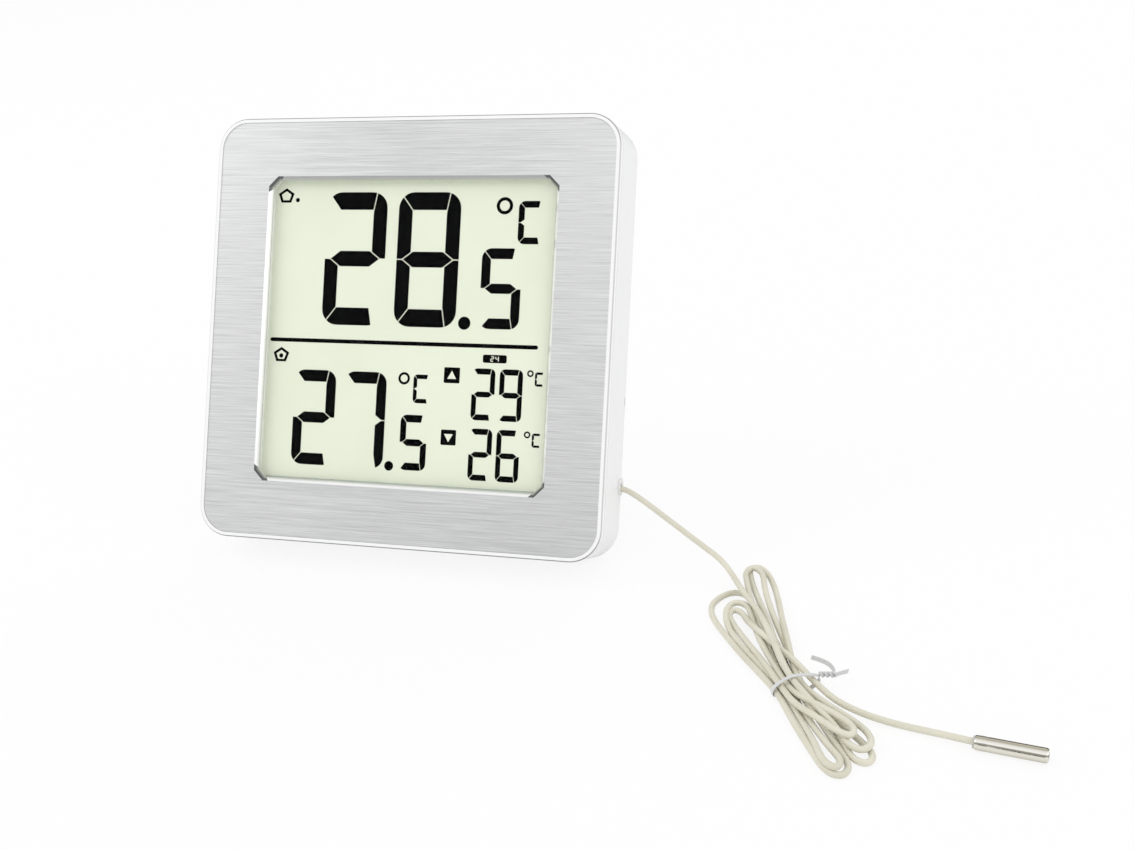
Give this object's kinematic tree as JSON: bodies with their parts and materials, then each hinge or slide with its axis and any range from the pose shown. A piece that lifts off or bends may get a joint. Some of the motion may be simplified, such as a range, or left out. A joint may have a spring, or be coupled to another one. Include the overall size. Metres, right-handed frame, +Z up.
{
  "type": "maximum minimum thermometer",
  "caption": "Square digital maximum-minimum thermometer leaning on a fold-out stand, with a steel outdoor probe on a thin cord tied in a hank.",
  "frame": {"origin": "centre of the leaning case's footprint, on the surface it stands on", "axes": "+X to the right of someone reading the display, +Y to the back, +Z up; the display faces -Y and leans back 25 degrees"},
  "size_m": [0.2319, 0.1376, 0.1166],
  "materials": {
    "white_abs": "satin moulded ABS",
    "brushed_aluminium": "horizontally brushed, polished bevel",
    "clear_window": "clear polished acrylic",
    "display_film": "pale green-grey film",
    "display_glass": "thin float glass",
    "elastomer": "striped silicone",
    "white_frame": "matte",
    "board_green": "solder mask",
    "screw_steel": "zinc plated",
    "epoxy_black": "cured epoxy",
    "component_metal": "bright can",
    "component_dark": "ceramic and plastic",
    "switch_black": "moulded",
    "grey_button": "satin",
    "cell_jacket": "plain printed jacket",
    "contact_nickel": "nickel plated spring steel",
    "lead_wire": "PVC insulation",
    "grommet_grey": "soft",
    "cord_cream": "satin PVC insulation",
    "tie_grey": "translucent plastic over wire",
    "probe_steel": "polished stainless tube",
    "probe_seal": "pale potting plug"
  },
  "bodies": {
    "case": {"front_bezel": "white_abs", "fascia_plate": "brushed_aluminium", "window_lens": "clear_window", "front_polariser": "display_film", "display_front_glass": "display_glass", "display_rear_glass": "display_glass", "display_reflector": "display_film", "zebra_strip": "elastomer", "display_holder": "white_frame", "rear_case": "white_abs", "battery_lower": "cell_jacket", "battery_upper": "cell_jacket", "battery_contacts": "contact_nickel", "battery_springs": "contact_nickel", "circuit_board": "board_green", "board_screws": "screw_steel", "case_screws": "screw_steel", "controller_blob": "epoxy_black", "timing_crystal": "component_metal", "smoothing_capacitor": "component_dark", "board_passives": "component_dark", "indoor_thermistor": "epoxy_black", "tact_switches": "switch_black", "unit_switch_body": "switch_black", "battery_leads": "lead_wire", "cord_clamp": "white_frame", "cord_grommet": "grommet_grey", "sensor_leads": "lead_wire", "sensor_cord_lead": "cord_cream", "sensor_cord_tail": "cord_cream", "cord_hank": "cord_cream", "twist_tie": "tie_grey", "probe_sleeve": "probe_steel", "probe_plug": "probe_seal", "probe_thermistor": "epoxy_black", "probe_potting": "probe_seal"},
    "stand": {"fold_out_stand": "white_abs"},
    "door": {"battery_door": "white_abs"},
    "unit_knob": {"unit_switch_knob": "switch_black"},
    "max_button": {"button_max": "grey_button"},
    "min_button": {"button_min": "grey_button"},
    "reset_button": {"button_reset": "grey_button"}
  },
  "joints": [
    {"name": "stand_hinge", "type": "hinge", "parent": "case", "child": "stand", "pos_m": [0, 0.01287, 0.06301], "axis": [1, 0, 0], "range_deg": [-39.38, 0]},
    {"name": "door_hinge", "type": "hinge", "parent": "case", "child": "door", "pos_m": [0, 0.01772, 0.07057], "axis": [-1, 0, 0], "range_deg": [0, 60]},
    {"name": "unit_switch_slide", "type": "slide", "parent": "case", "child": "unit_knob", "axis": [0, 0.4226, 0.9063], "range_m": [0, 0.002]},
    {"name": "max_button_press", "type": "slide", "parent": "case", "child": "max_button", "axis": [0, -0.9063, 0.4226], "range_m": [0, 0.0004], "stiffness_N_per_m": 4000, "springref_m": -0.0001},
    {"name": "min_button_press", "type": "slide", "parent": "case", "child": "min_button", "axis": [0, -0.9063, 0.4226], "range_m": [0, 0.0004], "stiffness_N_per_m": 4000, "springref_m": -0.0001},
    {"name": "reset_button_press", "type": "slide", "parent": "case", "child": "reset_button", "axis": [0, -0.9063, 0.4226], "range_m": [0, 0.0004], "stiffness_N_per_m": 4000, "springref_m": -0.0001}
  ]
}
